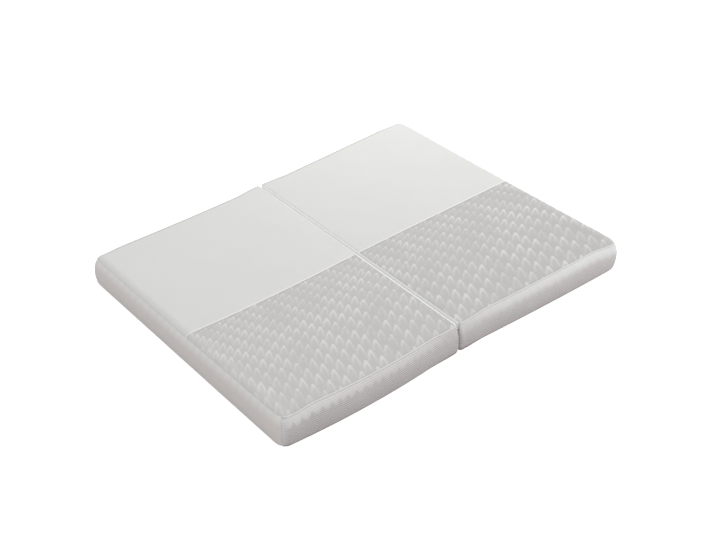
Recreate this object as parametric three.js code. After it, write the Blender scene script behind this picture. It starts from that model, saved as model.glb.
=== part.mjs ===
// A folding foam mattress, laid open: two filled panels side by side, joined along the top of the fold.
// Millimetres. X runs along the length, Y across the width, Z up. The origin is on the floor,
// at the middle of the underside.
import * as THREE from 'three';
import { mergeVertices } from 'three/addons/utils/BufferGeometryUtils.js';

// Driving sizes
const LENGTH = 2000;
const WIDTH = 1500;
const THICKNESS = 170;
const COLOUR_SEAM_Y = -44;       // where the plain back half of the top meets the patterned front half
const FOLD_GAP = 2;              // between the two panels, at the level where they come closest

// Soft edges
const FOLD_RADIUS = 20.6;        // top edges at the fold, and the corners beside it
const SIDE_RADIUS = 38;          // top edges along both long sides
const END_RADIUS = 50;           // the roll over both short ends, and the free corners
const FOLD_FOOT_RADIUS = 18;     // bottom edges at the fold
const FOOT_RADIUS = 36;          // the other bottom edges
const CORNER_REACH = 150;        // over what length one of these grows into the next
const SIDE_BULGE = 9;            // how far a side swells past its edges at half height
const FOLD_SLANT = 12;           // how far the fold's foot lies to the right of its top
const FOLD_SLANT_REACH = 160;    // how far from the fold the slant is felt
const CROWN = 4;                 // how far the middle of a panel stands above its edges

// Cloth
const CLOTH = 2.3;               // thickness of the quilted knit
const CLEAR = 0.9;               // between a cloth and the filled panel under it
const FOLD_EASE = 1.8;           // how much further in the filled panel keeps behind the hinge strip
const FOLD_FACE_FROM = 0.72;     // where the bare fold face starts to come out, by how far it faces the fold
const FOLD_FACE_FULL = 0.96;
const SEAM_TURN = 0.9;           // half the parting at a seam on a round edge, in degrees
const SEAM_CLEAR = 0.3;          // half the parting at a seam on a flat face

// Ribs of the long borders
const RIB_COUNT = 16;
const RIB_RAISE = 1.8;

// Piping sewn between the top and each long border
const PIPING_RADIUS = 4;
const PIPING_STANDS_OUT = 1.9;   // its axis, past the surface of the cloth
const PIPING_ELEVATION = 58;     // where it lies on a side's round edge, in degrees above the level
const PIPING_CORNER_ELEVATION = 40.5;   // the same beside the fold and at the free corners
const PIPING_SIDES = 8;
const PIPING_CLEARANCE = 4.15;   // from its middle to the cloths on either side, along the surface

// Cloth edges, as turns in degrees: on a top edge from the flat top, on a corner from the long side
const BORDER_FOOT_ELEVATION = -48;
const CORNER_SEAM_TURN = 43;
const PIPING_END_TURN = 40;
const HINGE_LEFT_TURN = 15;
const HINGE_RIGHT_TURN = 30;
const HINGE_DEPTH = 27;          // how deep the hinge strip dips into the fold

// How the mattress lies: each row is a place along the length, with the front and back edges
// across it and the height of the top over the front edge, the colour seam and the back edge.
const LIES = [
  { panel: 'left', place: 'end', x: -1000, front: -740, back: 747, atFront: 189, atSeam: 171, atBack: 166 },
  { panel: 'left', place: 'middle', x: -512, front: -765, back: 732, atFront: 169, atSeam: 170, atBack: 168 },
  { panel: 'left', place: 'fold', x: -24, front: -741, back: 735, atFront: 167, atSeam: 169, atBack: 169 },
  { panel: 'right', place: 'fold', x: 24, front: -740, back: 735, atFront: 168, atSeam: 169, atBack: 168 },
  { panel: 'right', place: 'middle', x: 512, front: -763, back: 752, atFront: 173, atSeam: 170, atBack: 172 },
  { panel: 'right', place: 'end', x: 1000, front: -772, back: 774, atFront: 178, atSeam: 170, atBack: 172 },
];
// Where the short ends and the fold lie at the front edge and at the back edge.
const ACROSS = [
  { line: 'left end', front: -1005, back: -985 },
  { line: 'fold', front: -25, back: -12 },
  { line: 'right end', front: 1005, back: 976 },
];

const PANEL_LENGTH = (LENGTH - FOLD_GAP) / 2;
const HALF_WIDTH = WIDTH / 2;
const PANEL_DEPTH = CLOTH + CLEAR;
const { lerp, smoothstep, degToRad: rad, radToDeg } = THREE.MathUtils;

// A number on the curve through three named values, at u = 0, 0.5 and 1.
function throughThree(first, middle, last, u) {
  const a = 2 * (first + last) - 4 * middle;
  const b = last - first - a;
  return first + b * u + a * u * u;
}

// The named column of LIES at a place along the length.
function along(column, x) {
  const [leftEnd, leftMiddle, leftFold, rightFold, rightMiddle, rightEnd] = LIES;
  if (x <= leftFold.x) {
    const u = (x - leftEnd.x) / (leftFold.x - leftEnd.x);
    return throughThree(leftEnd[column], leftMiddle[column], leftFold[column], u);
  }
  if (x >= rightFold.x) {
    const u = (x - rightFold.x) / (rightEnd.x - rightFold.x);
    return throughThree(rightFold[column], rightMiddle[column], rightEnd[column], u);
  }
  const u = (x - leftFold.x) / (rightFold.x - leftFold.x);
  return lerp(leftFold[column], rightFold[column], u);
}

// Moves a point of the even, square mattress to where it lies on the real, uneven one.
function lie([x, y, z]) {
  const v = (y + HALF_WIDTH) / WIDTH;
  const [leftEnd, fold, rightEnd] = ACROSS;
  const end = x < 0 ? leftEnd : rightEnd;
  const reach = Math.abs(x) / (LENGTH / 2);
  const endX = lerp(end.front, end.back, v);
  const foldX = lerp(fold.front, fold.back, v);
  const lyingX = foldX * (1 - reach) + endX * reach;
  const lyingY = lerp(along('front', x), along('back', x), v);
  const seamV = (COLOUR_SEAM_Y + HALF_WIDTH) / WIDTH;
  const front = along('atFront', x);
  const back = along('atBack', x);
  const sag = along('atSeam', x) - lerp(front, back, seamV);
  const height = lerp(front, back, v) + sag * (v * (1 - v)) / (seamV * (1 - seamV));
  const slant = FOLD_SLANT * (1 - smoothstep(Math.abs(x), 0, FOLD_SLANT_REACH));
  return [lyingX + slant * (1 - z / THICKNESS), lyingY, z * height / THICKNESS];
}

// Shares of the way along a panel, at a distance from the fold: from the corner beside the fold
// into the side, and from the side into the free corner.
const intoSide = (a) => smoothstep(a, FOLD_RADIUS, FOLD_RADIUS + CORNER_REACH);
const CORNER_A = PANEL_LENGTH - END_RADIUS;
const intoCorner = (a) => smoothstep(a, CORNER_A - CORNER_REACH, CORNER_A);

// The radii of a long side's top and bottom edges there.
function sideRadius(a) {
  return FOLD_RADIUS + (SIDE_RADIUS - FOLD_RADIUS) * intoSide(a) + (END_RADIUS - SIDE_RADIUS) * intoCorner(a);
}
const footRadius = (a) => lerp(FOLD_FOOT_RADIUS, FOOT_RADIUS, intoSide(a));

// How high the piping lies there, and the cloths' edges below and above it, in degrees.
function pipingElevation(a) {
  const away = intoSide(a) * (1 - intoCorner(a));
  return lerp(PIPING_CORNER_ELEVATION, PIPING_ELEVATION, away);
}
const pipingClearance = (a) => radToDeg(PIPING_CLEARANCE / sideRadius(a));
const borderTop = (a) => pipingElevation(a) - pipingClearance(a);
const topClothTurn = (a) => 90 - pipingElevation(a) - pipingClearance(a);

// A station is a place along a panel or across it: on the flat part, at a share of it, or on the
// round edge of one side, at a turn in degrees from the flat top. Its turn may also be given as a
// part of the way to the piping.
const flat = (share) => ({ share, side: 0, turn: 0 });
const low = (turn) => ({ share: 0, side: -1, turn });
const high = (turn) => ({ share: 1, side: 1, turn });
const lowPart = (part) => ({ share: 0, side: -1, part });
const highPart = (part) => ({ share: 1, side: 1, part });
const turnAt = (station, a) => ('part' in station ? station.part * topClothTurn(a) : station.turn);
const FLAT_A = [0, 0.055, 0.11, 0.165, 0.4, 0.65, 0.83, 0.885, 0.94, 1].map(flat);
const acrossShare = (y) => (y + HALF_WIDTH - SIDE_RADIUS) / (WIDTH - 2 * SIDE_RADIUS);
const SEAM_SHARE = acrossShare(COLOUR_SEAM_Y);
const FRONT_SHARES = [0, 0.15, 0.36, 0.68].map((part) => flat(part * SEAM_SHARE));
const BACK_SHARES = [0.32, 0.64, 0.85, 1].map((part) => flat(SEAM_SHARE + part * (1 - SEAM_SHARE)));
const EDGE_TURNS = [15, 30, 45];
const TO_PIPING = [0.34, 0.67, 1];

// The flat place of a station, measured from the fold along a panel, and from the middle across it.
const aOf = (station) => lerp(FOLD_RADIUS, CORNER_A, station.share);
const yOf = (station, radius) => lerp(-HALF_WIDTH + radius, HALF_WIDTH - radius, station.share);

// A point of a panel's top: flat with a slight crown in the middle, an arc over each edge and a
// ball at each corner. Depth is how far it lies under the surface.
function topPoint(stationA, stationY, depth) {
  const a = aOf(stationA);
  const radius = sideRadius(a);
  const y = yOf(stationY, radius);
  const turnY = turnAt(stationY, a);
  const turn = Math.max(stationA.turn, turnY);
  if (turn === 0) {
    const crown = CROWN * Math.sin(Math.PI * stationA.share) * Math.sin(Math.PI * stationY.share);
    return [a, y, THICKNESS - depth + crown];
  }
  const spread = rad(45 * Math.min(stationA.turn, turnY) / turn);
  const fromA = stationA.turn >= turnY ? Math.cos(spread) : Math.sin(spread);
  const fromY = stationA.turn >= turnY ? Math.sin(spread) : Math.cos(spread);
  const out = (radius - depth) * Math.sin(rad(turn));
  const up = (radius - depth) * Math.cos(rad(turn));
  return [a + stationA.side * fromA * out, y + stationY.side * fromY * out, THICKNESS - radius + up];
}

// A place on a panel's upright sides: the centre of its round edges in plan, the way it faces and
// the radii of the edges.
function longSide(station, side) {
  const turn = rad(station.turn);
  const a = aOf(station);
  const radius = sideRadius(a);
  const facing = [station.side * Math.sin(turn), side * Math.cos(turn)];
  return { centre: [a, side * (HALF_WIDTH - radius)], facing, radius, foot: footRadius(a), top: borderTop(a) };
}

function shortSide(station, side) {
  const a = side > 0 ? CORNER_A : FOLD_RADIUS;
  const turn = rad(turnAt(station, a));
  const radius = sideRadius(a);
  const facing = [side * Math.cos(turn), station.side * Math.sin(turn)];
  return { centre: [a, yOf(station, radius)], facing, radius, foot: footRadius(a) };
}

// A level on an upright side: on the round top edge at an elevation in degrees or at a part of the
// way up to the piping, on the bottom roll at an elevation, or at a share of the height between.
const edge = (elevation) => ({ elevation });
const edgePart = (part) => ({ part });
const body = (share) => ({ share });
const roll = (elevation) => ({ elevation, atFoot: true });
const ROLL_LEVELS = [-32, -16].map(roll);
const BODY_LEVELS = [0, 0.25, 0.5, 0.75, 1].map(body);

// How far a side stands out at a share of its height: it swells, but not where it faces the fold.
function swell(facing, share) {
  const towardsFold = facing[0] < 0 ? facing[0] * facing[0] : 0;
  return SIDE_BULGE * Math.sin(Math.PI * share) * (1 - towardsFold);
}

function sidePoint({ centre, facing, radius, foot, top }, level, depth) {
  const elevation = rad('part' in level ? level.part * top : level.elevation);
  let out = (radius - depth) * Math.cos(elevation);
  let z = THICKNESS - radius + (radius - depth) * Math.sin(elevation);
  if ('share' in level) {
    out = radius - depth + swell(facing, level.share);
    z = lerp(foot, THICKNESS - radius, level.share);
  } else if (level.atFoot) {
    out = radius - foot + (foot - depth) * Math.cos(elevation);
    z = foot + (foot - depth) * Math.sin(elevation);
  }
  return [centre[0] + facing[0] * out, centre[1] + facing[1] * out, z];
}

// Puts a panel's own point, measured from the fold face, on the left or right of the fold.
const place = (hand, [a, y, z]) => lie([hand * (FOLD_GAP / 2 + a), y, z]);

// A closed mesh from its points and triangles, turned so that its faces point out.
function closedGeometry(points, triangles) {
  const corner = (index) => new THREE.Vector3(...points[index]);
  let volume = 0;
  for (const [i, j, k] of triangles) {
    volume += corner(i).dot(corner(j).cross(corner(k)));
  }
  const ordered = volume > 0 ? triangles : triangles.map(([i, j, k]) => [i, k, j]);
  const geometry = new THREE.BufferGeometry();
  geometry.setAttribute('position', new THREE.Float32BufferAttribute(points.flat(), 3));
  geometry.setIndex(ordered.flat());
  const merged = mergeVertices(geometry);
  merged.computeVertexNormals();
  return merged;
}

// A sheet with thickness from two grids of points, the outer and the inner one. Both have the same
// number of points in a row; the inner one may have fewer rows.
function sheetGeometry(outer, inner) {
  const points = [];
  const triangles = [];
  const number = (row) => row.map((point) => points.push(point) - 1);
  const o = outer.map(number);
  const n = inner.map(number);
  const lastO = o.length - 1;
  const lastN = n.length - 1;
  const lastColumn = o[0].length - 1;
  for (let c = 0; c < lastColumn; c += 1) {
    for (let r = 0; r < lastO; r += 1) {
      triangles.push([o[r][c], o[r][c + 1], o[r + 1][c + 1]]);
      triangles.push([o[r][c], o[r + 1][c + 1], o[r + 1][c]]);
    }
    for (let r = 0; r < lastN; r += 1) {
      triangles.push([n[r][c], n[r + 1][c + 1], n[r][c + 1]]);
      triangles.push([n[r][c], n[r + 1][c], n[r + 1][c + 1]]);
    }
    triangles.push([o[0][c + 1], o[0][c], n[0][c]]);
    triangles.push([o[0][c + 1], n[0][c], n[0][c + 1]]);
    triangles.push([o[lastO][c], o[lastO][c + 1], n[lastN][c + 1]]);
    triangles.push([o[lastO][c], n[lastN][c + 1], n[lastN][c]]);
  }
  for (const c of [0, lastColumn]) {
    let i = 0;
    let j = 0;
    while (i < lastO || j < lastN) {
      const outerNext = j === lastN || (i < lastO && (i + 1) / lastO <= (j + 1) / lastN);
      const next = outerNext ? o[i + 1][c] : n[j + 1][c];
      triangles.push(c === 0 ? [o[i][c], next, n[j][c]] : [o[i][c], n[j][c], next]);
      i += outerNext ? 1 : 0;
      j += outerNext ? 0 : 1;
    }
  }
  return closedGeometry(points, triangles);
}

// A filled panel: its top, its upright sides in rings from the top edge to the floor, and its flat
// underside. The underside's cloth comes up over the bottom roll to the borders' lower edge.
function panelGeometry(hand) {
  const lengthwise = [...EDGE_TURNS.map(low).reverse(), ...FLAT_A, ...EDGE_TURNS.map(high)];
  const crosswise = [
    ...EDGE_TURNS.map(low).reverse(),
    ...FRONT_SHARES, flat(SEAM_SHARE), ...BACK_SHARES,
    ...EDGE_TURNS.map(high),
  ];
  const lastA = lengthwise.length - 1;
  const lastY = crosswise.length - 1;
  const points = [];
  const triangles = [];
  const add = (point) => points.push(place(hand, point)) - 1;
  const top = lengthwise.map((stationA) => (
    crosswise.map((stationY) => add(topPoint(stationA, stationY, PANEL_DEPTH)))
  ));
  for (let i = 0; i < lastA; i += 1) {
    for (let j = 0; j < lastY; j += 1) {
      triangles.push([top[i][j], top[i + 1][j], top[i + 1][j + 1]]);
      triangles.push([top[i][j], top[i + 1][j + 1], top[i][j + 1]]);
    }
  }
  const rim = [];
  for (let i = 0; i < lastA; i += 1) rim.push({ at: top[i][0], side: longSide(lengthwise[i], -1) });
  for (let j = 0; j < lastY; j += 1) rim.push({ at: top[lastA][j], side: shortSide(crosswise[j], 1) });
  for (let i = lastA; i > 0; i -= 1) rim.push({ at: top[i][lastY], side: longSide(lengthwise[i], 1) });
  for (let j = lastY; j > 0; j -= 1) rim.push({ at: top[0][j], side: shortSide(crosswise[j], -1) });
  const covered = (level) => ({
    level,
    depth: (facing) => PANEL_DEPTH + FOLD_EASE * Math.max(0, -facing[0]),
  });
  const atBorder = (level) => ({
    level,
    depth: (facing) => PANEL_DEPTH * (1 - smoothstep(-facing[0], FOLD_FACE_FROM, FOLD_FACE_FULL)),
  });
  const bare = (level, depth) => ({ level, depth: () => depth });
  const rings = [
    covered(edge(30)),
    covered(edge(15)),
    covered(body(1)),
    ...[...ROLL_LEVELS, ...BODY_LEVELS.slice(0, -1)].map(atBorder).reverse(),
    atBorder(roll(BORDER_FOOT_ELEVATION - 2)),
    bare(roll(BORDER_FOOT_ELEVATION - 6), CLEAR),
    bare(roll(-64), 0),
    bare(roll(-77), 0),
    bare(roll(-90), 0),
  ];
  let above = rim.map(({ at }) => at);
  for (const { level, depth } of rings) {
    const ring = rim.map(({ side }) => add(sidePoint(side, level, depth(side.facing))));
    for (let k = 0; k < rim.length; k += 1) {
      const next = (k + 1) % rim.length;
      triangles.push([above[next], above[k], ring[k]], [above[next], ring[k], ring[next]]);
    }
    above = ring;
  }
  const outline = above.map((index) => new THREE.Vector2(points[index][0], points[index][1]));
  const mirrored = hand < 0;
  if (mirrored) outline.reverse();
  const around = mirrored ? [...above].reverse() : above;
  for (const [i, j, k] of THREE.ShapeUtils.triangulateShape(outline, [])) {
    triangles.push(mirrored ? [around[i], around[j], around[k]] : [around[i], around[k], around[j]]);
  }
  return closedGeometry(points, triangles);
}

// A top cloth: from the hinge strip to the roll over the short end, and from the colour seam to the piping.
function topClothGeometry(hand, crosswise) {
  const hingeTurn = (hand < 0 ? HINGE_LEFT_TURN : HINGE_RIGHT_TURN) - SEAM_TURN;
  const lengthwise = [
    low(hingeTurn), ...(hand > 0 ? [low(15)] : []), ...FLAT_A, high(15), high(30), high(45 - SEAM_TURN),
  ];
  const grid = (depth) => lengthwise.map((stationA) => (
    crosswise.map((stationY) => place(hand, topPoint(stationA, stationY, depth)))
  ));
  return sheetGeometry(grid(0), grid(CLOTH));
}

// Half the parting at the colour seam, as a share of the way across.
const SEAM_PARTING = SEAM_CLEAR / (WIDTH - 2 * SIDE_RADIUS);
const FROM_PIPING = TO_PIPING.map(lowPart).reverse();
const PATTERNED = [...FROM_PIPING, ...FRONT_SHARES, flat(SEAM_SHARE - SEAM_PARTING)];
const PLAIN = [flat(SEAM_SHARE + SEAM_PARTING), ...BACK_SHARES, ...TO_PIPING.map(highPart)];

// The stations of a border or piping along a long side, from the fold's corner to the end's.
function alongBorder(lastTurn) {
  return [low(lastTurn), low(30), low(15), ...FLAT_A, high(15), high(30), high(lastTurn)];
}

// The level at a share of the way up a border's column, from its lower edge to the piping.
function borderLevel({ radius, foot, top }, share) {
  const bodyHeight = THICKNESS - radius - foot;
  const footArc = foot * rad(-BORDER_FOOT_ELEVATION);
  const up = share * (footArc + bodyHeight + radius * rad(top)) - footArc;
  if (up < 0) return roll(radToDeg(up / foot));
  if (up <= bodyHeight) return body(up / bodyHeight);
  return edge(radToDeg((up - bodyHeight) / radius));
}

// A long border: level ribs raised one above another, each a valley, a rise to its back and a fall.
function borderGeometry(hand, side) {
  const columns = alongBorder(CORNER_SEAM_TURN).map((station) => longSide(station, side));
  const ribRows = [{ at: 0, raise: 0 }, { at: 0.32, raise: 1 }, { at: 0.68, raise: 1 }];
  const outer = [];
  for (let rib = 0; rib < RIB_COUNT; rib += 1) {
    for (const { at, raise } of ribRows) {
      const share = (rib + at) / RIB_COUNT;
      outer.push(columns.map((column) => (
        place(hand, sidePoint(column, borderLevel(column, share), -RIB_RAISE * raise))
      )));
    }
  }
  outer.push(columns.map((column) => place(hand, sidePoint(column, edgePart(1), 0))));
  const innerLevels = [
    roll(BORDER_FOOT_ELEVATION), ...ROLL_LEVELS, ...BODY_LEVELS, ...TO_PIPING.map(edgePart),
  ];
  const inner = innerLevels.map((level) => (
    columns.map((column) => place(hand, sidePoint(column, level, CLOTH)))
  ));
  return sheetGeometry(outer, inner);
}

// The plain cloth of a short end, from the roll over the top down to the bottom edge, with both corners.
function endClothGeometry(hand) {
  const cornerTurn = 90 - CORNER_SEAM_TURN - 2 * SEAM_TURN;
  const crosswise = [
    low(cornerTurn), low(30), low(15),
    ...FRONT_SHARES, flat(SEAM_SHARE), ...BACK_SHARES,
    high(15), high(30), high(cornerTurn),
  ];
  const levels = [
    roll(BORDER_FOOT_ELEVATION), ...ROLL_LEVELS, ...BODY_LEVELS, edge(15), edge(30), edge(45 - SEAM_TURN),
  ];
  const grid = (depth) => levels.map((level) => (
    crosswise.map((station) => place(hand, sidePoint(shortSide(station, 1), level, depth)))
  ));
  return sheetGeometry(grid(0), grid(CLOTH));
}

// Piping along the top of a long border: a round cord that ends just short of both corners.
function pipingGeometry(hand, side) {
  const columns = alongBorder(PIPING_END_TURN).map((station) => longSide(station, side));
  const points = [];
  const triangles = [];
  const rings = columns.map((column) => {
    const axis = sidePoint(column, edge(pipingElevation(column.centre[0])), -PIPING_STANDS_OUT);
    const ring = [];
    for (let k = 0; k < PIPING_SIDES; k += 1) {
      const angle = 2 * Math.PI * k / PIPING_SIDES;
      const out = PIPING_RADIUS * Math.cos(angle);
      const up = PIPING_RADIUS * Math.sin(angle);
      const point = [axis[0] + column.facing[0] * out, axis[1] + column.facing[1] * out, axis[2] + up];
      ring.push(points.push(place(hand, point)) - 1);
    }
    return ring;
  });
  for (let r = 0; r + 1 < rings.length; r += 1) {
    for (let k = 0; k < PIPING_SIDES; k += 1) {
      const next = (k + 1) % PIPING_SIDES;
      triangles.push([rings[r][k], rings[r][next], rings[r + 1][next]]);
      triangles.push([rings[r][k], rings[r + 1][next], rings[r + 1][k]]);
    }
  }
  const first = rings[0];
  const last = rings[rings.length - 1];
  for (let k = 1; k + 1 < PIPING_SIDES; k += 1) {
    triangles.push([first[0], first[k + 1], first[k]], [last[0], last[k], last[k + 1]]);
  }
  return closedGeometry(points, triangles);
}

// The hinge strip: it lies over the top edge of both panels and dips into the fold between them.
function hingeGeometry() {
  const crosswise = [
    ...FROM_PIPING, ...FRONT_SHARES, flat(SEAM_SHARE), ...BACK_SHARES, ...TO_PIPING.map(highPart),
  ];
  const faceHeight = THICKNESS - FOLD_RADIUS - FOLD_FOOT_RADIUS;
  const dipShare = (THICKNESS - HINGE_DEPTH - FOLD_FOOT_RADIUS) / faceHeight;
  const overEdge = (hand, firstTurn, stationY, depth) => {
    const turns = [firstTurn + SEAM_TURN, ...EDGE_TURNS.filter((turn) => turn > firstTurn)];
    const levels = [edge(30), edge(15), body(1), body(dipShare)];
    return [
      ...turns.map((turn) => topPoint(low(turn), stationY, depth)),
      ...levels.map((level) => sidePoint(shortSide(stationY, -1), level, depth)),
    ].map(([a, y, z]) => [hand * (FOLD_GAP / 2 + a), y, z]);
  };
  const column = (stationY, depth) => {
    const left = overEdge(-1, HINGE_LEFT_TURN, stationY, depth);
    const right = overEdge(1, HINGE_RIGHT_TURN, stationY, depth);
    const from = left[left.length - 1];
    const reach = -from[0];
    const dip = [45, 90, 135].map((turn) => [
      -reach * Math.cos(rad(turn)), from[1], from[2] - reach * Math.sin(rad(turn)),
    ]);
    return [...left, ...dip, ...right.reverse()].map(lie);
  };
  const grid = (depth) => crosswise.map((stationY) => column(stationY, depth));
  return sheetGeometry(grid(0), grid(CLOTH));
}

// Finishes
const clothMaterial = (name, color, roughness) => (
  new THREE.MeshStandardMaterial({ name, color, roughness, metalness: 0 })
);
const underCloth = clothMaterial('under_cloth', 0xb9b4b1, 0.95);
const plainKnit = clothMaterial('plain_knit', 0xdcdcda, 0.9);
const patternedKnit = clothMaterial('patterned_knit', 0xbcbcbc, 0.9);
const ribbedKnit = clothMaterial('ribbed_knit', 0xbdb9b6, 0.9);
const endKnit = clothMaterial('end_knit', 0xc3bcb9, 0.9);
const pipingCloth = clothMaterial('piping_cloth', 0xdededd, 0.85);

const mattress = new THREE.Group();
function addPiece(name, geometry, material) {
  const mesh = new THREE.Mesh(geometry, material);
  mesh.name = name;
  mattress.add(mesh);
}

for (const { panel, hand } of [{ panel: 'left', hand: -1 }, { panel: 'right', hand: 1 }]) {
  addPiece(`${panel}_filled_panel`, panelGeometry(hand), underCloth);
  addPiece(`${panel}_plain_top`, topClothGeometry(hand, PLAIN), plainKnit);
  addPiece(`${panel}_patterned_top`, topClothGeometry(hand, PATTERNED), patternedKnit);
  addPiece(`${panel}_end_cloth`, endClothGeometry(hand), endKnit);
  for (const { edgeName, side } of [{ edgeName: 'front', side: -1 }, { edgeName: 'back', side: 1 }]) {
    addPiece(`${panel}_${edgeName}_border`, borderGeometry(hand, side), ribbedKnit);
    addPiece(`${panel}_${edgeName}_piping`, pipingGeometry(hand, side), pipingCloth);
  }
}
addPiece('hinge_strip', hingeGeometry(), pipingCloth);

export default mattress;
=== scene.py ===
# %% [markdown]
# # A folding foam mattress, laid open
# The mattress has two foam panels side by side, joined along the top of the fold by a light strip.
# Each panel is dressed in knitted cloths: a plain and a patterned half on top, a smooth cloth over
# the short end and ribbed borders along both long sides, with a thin piping between top and border.
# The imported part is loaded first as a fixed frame. Every cloth is then built again around it, finer
# and from nearly the same sizes, because relief this fine would be too heavy for its own solids.

import bmesh
import bpy
import numpy as np
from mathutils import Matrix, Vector


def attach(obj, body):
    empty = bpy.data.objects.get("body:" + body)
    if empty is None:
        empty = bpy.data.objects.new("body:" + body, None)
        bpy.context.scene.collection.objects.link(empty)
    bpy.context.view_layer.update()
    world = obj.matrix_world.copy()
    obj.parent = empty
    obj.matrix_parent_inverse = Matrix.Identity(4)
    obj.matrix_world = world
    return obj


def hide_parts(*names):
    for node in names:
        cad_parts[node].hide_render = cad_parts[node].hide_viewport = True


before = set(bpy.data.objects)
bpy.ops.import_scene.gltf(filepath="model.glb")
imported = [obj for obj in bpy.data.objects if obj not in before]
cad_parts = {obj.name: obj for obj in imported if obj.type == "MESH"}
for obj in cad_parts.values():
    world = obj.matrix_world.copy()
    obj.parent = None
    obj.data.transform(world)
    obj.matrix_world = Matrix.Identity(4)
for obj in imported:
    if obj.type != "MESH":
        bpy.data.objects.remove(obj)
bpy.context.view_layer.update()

# %% [markdown]
# ## Sizes
# These are the sizes that shape the mattress, in millimetres, and the named places that say how it
# lies on the floor. All later shapes are worked out from them.

# %% Named sizes
LENGTH, WIDTH, THICKNESS = 2000, 1500, 170
COLOUR_SEAM_Y = -44            # where the plain back half meets the patterned front half
FOLD_GAP = 2
FOLD_RADIUS, SIDE_RADIUS, END_RADIUS = 20.6, 38, 50    # top edges at the fold, along the sides, over the ends
FOLD_FOOT_RADIUS, FOOT_RADIUS = 18, 36                 # bottom edges at the fold and elsewhere
CORNER_REACH = 150             # over what length one radius grows into the next
SIDE_BULGE, SWELL_POWER, CROWN = 9, 1.4, 4             # how far a side swells, how fully, and the top's crown
FOLD_SLANT, FOLD_SLANT_REACH = 12, 160                 # the fold's foot lies to the right of its top
CLOTH, CLEAR = 2.3, 0.9        # thickness of a cloth, and its distance from the filled panel
SEAM_TURN, SEAM_CLEAR = 0.3, 0.3       # half the parting at a seam: degrees on a round edge, mm on the flat
RIB_COUNT, RIB_RAISE = 16, 1.8
PIPING_RADIUS, PIPING_STANDS_OUT = 4, 1.0
PIPING_CLEARANCE = 3.8         # from its middle to the cloths, just under its radius, so that they touch it
PIPING_ELEVATION, PIPING_CORNER_ELEVATION = 58, 40.5   # degrees above the level, on a side and at a corner
BORDER_FOOT_ELEVATION = -48
CORNER_SEAM_TURN, PIPING_END_TURN = 43.6, 40
HINGE_LEFT_TURN, HINGE_RIGHT_TURN, HINGE_DEPTH = 15, 30, 27
PANEL_LENGTH = (LENGTH - FOLD_GAP) / 2
CORNER_A = PANEL_LENGTH - END_RADIUS                   # where a free corner starts, from the fold
HALF_WIDTH = WIDTH / 2
PANEL_DEPTH = CLOTH + CLEAR
MM = 0.001

# How the mattress lies, at six places along the length: the front and back edges across it and the
# height of the top over the front edge, the colour seam and the back edge.
LIES = {
    "x": (-1000, -512, -24, 24, 512, 1000),
    "front": (-740, -765, -741, -740, -763, -772),
    "back": (747, 732, 735, 735, 752, 774),
    "at_front": (189, 169, 167, 168, 173, 178),
    "at_seam": (171, 170, 169, 169, 170, 170),
    "at_back": (166, 168, 169, 168, 172, 172),
}
# Where the left end, the fold and the right end lie, at the front edge and at the back edge.
ACROSS = {"left": (-1005, -985), "fold": (-25, -12), "right": (1005, 976)}
print("panel length", PANEL_LENGTH, "mm")

# %% [markdown]
# ## From the even mattress to the one that lies on the floor
# A foam mattress is never quite square once it is unfolded. Each point is first worked out on an
# even, square mattress and then moved: curves through a few named places say where the edges lie
# and how high the top is there. One warp for all pieces keeps every cloth on its panel.

# %% The warp
def lerp(first, last, share):
    """The value at a share of the way from first to last."""
    return first + (last - first) * share


def ease(x, first, last):
    """A smooth step from 0 at first to 1 at last: three squares less two cubes of the share between them."""
    share = np.clip((x - first) / (last - first), 0, 1)
    return share * share * (3 - 2 * share)


def along(column, x):
    """The column at x: on each panel the parabola through its three named values, and a straight line over
    the fold."""
    places, values = LIES["x"], LIES[column]

    def panel(k):
        first, middle, last = values[k:k + 3]
        u = (x - places[k]) / (places[k + 2] - places[k])
        a = 2 * (first + last) - 4 * middle
        return first + (last - first - a) * u + a * u * u

    bridge = lerp(values[2], values[3], (x - places[2]) / (places[3] - places[2]))
    return np.where(x <= places[2], panel(0), np.where(x >= places[3], panel(3), bridge))


def lie(points):
    """Moves points of the even mattress: x by the lines of the ends and the fold, y between the front and
    back edges, z by the height of the top there, which sags on a parabola between front and back. Near the
    fold, x also moves to the right in proportion to how far a point lies under the top."""
    x, y, z = np.moveaxis(points, -1, 0)
    v = (y + HALF_WIDTH) / WIDTH
    reach = np.abs(x) / (LENGTH / 2)
    end_x = np.where(x < 0, lerp(*ACROSS["left"], v), lerp(*ACROSS["right"], v))
    lying_x = lerp(*ACROSS["fold"], v) * (1 - reach) + end_x * reach
    lying_y = lerp(along("front", x), along("back", x), v)
    seam_v = (COLOUR_SEAM_Y + HALF_WIDTH) / WIDTH
    front, back = along("at_front", x), along("at_back", x)
    sag = along("at_seam", x) - lerp(front, back, seam_v)
    height = lerp(front, back, v) + sag * v * (1 - v) / (seam_v * (1 - seam_v))
    slant = FOLD_SLANT * (1 - ease(np.abs(x), 0, FOLD_SLANT_REACH)) * (1 - z / THICKNESS)
    return np.stack([lying_x + slant, lying_y, z * height / THICKNESS], -1)


def place(hand, points):
    """Puts points measured from the fold face on the left (-1) or right (1) panel, as it lies."""
    return lie(points * (hand, 1, 1) + (hand * FOLD_GAP / 2, 0, 0))


# %% [markdown]
# ## The surface of one panel
# A panel is a soft box. Its top is flat with a slight crown and turns over round edges; its sides
# swell a little and roll under at the foot. Both are functions of two parameters, so a cloth is
# only a range of the parameters and a depth under the surface. Seams, ribs and waves are small
# changes of that depth.

# %% How the edges change along a panel
def into_side(a):
    """From the corner beside the fold (0) into the long side (1), at a distance from the fold."""
    return ease(a, FOLD_RADIUS, FOLD_RADIUS + CORNER_REACH)


def into_corner(a):
    """From the long side (0) into the free corner (1)."""
    return ease(a, CORNER_A - CORNER_REACH, CORNER_A)


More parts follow.
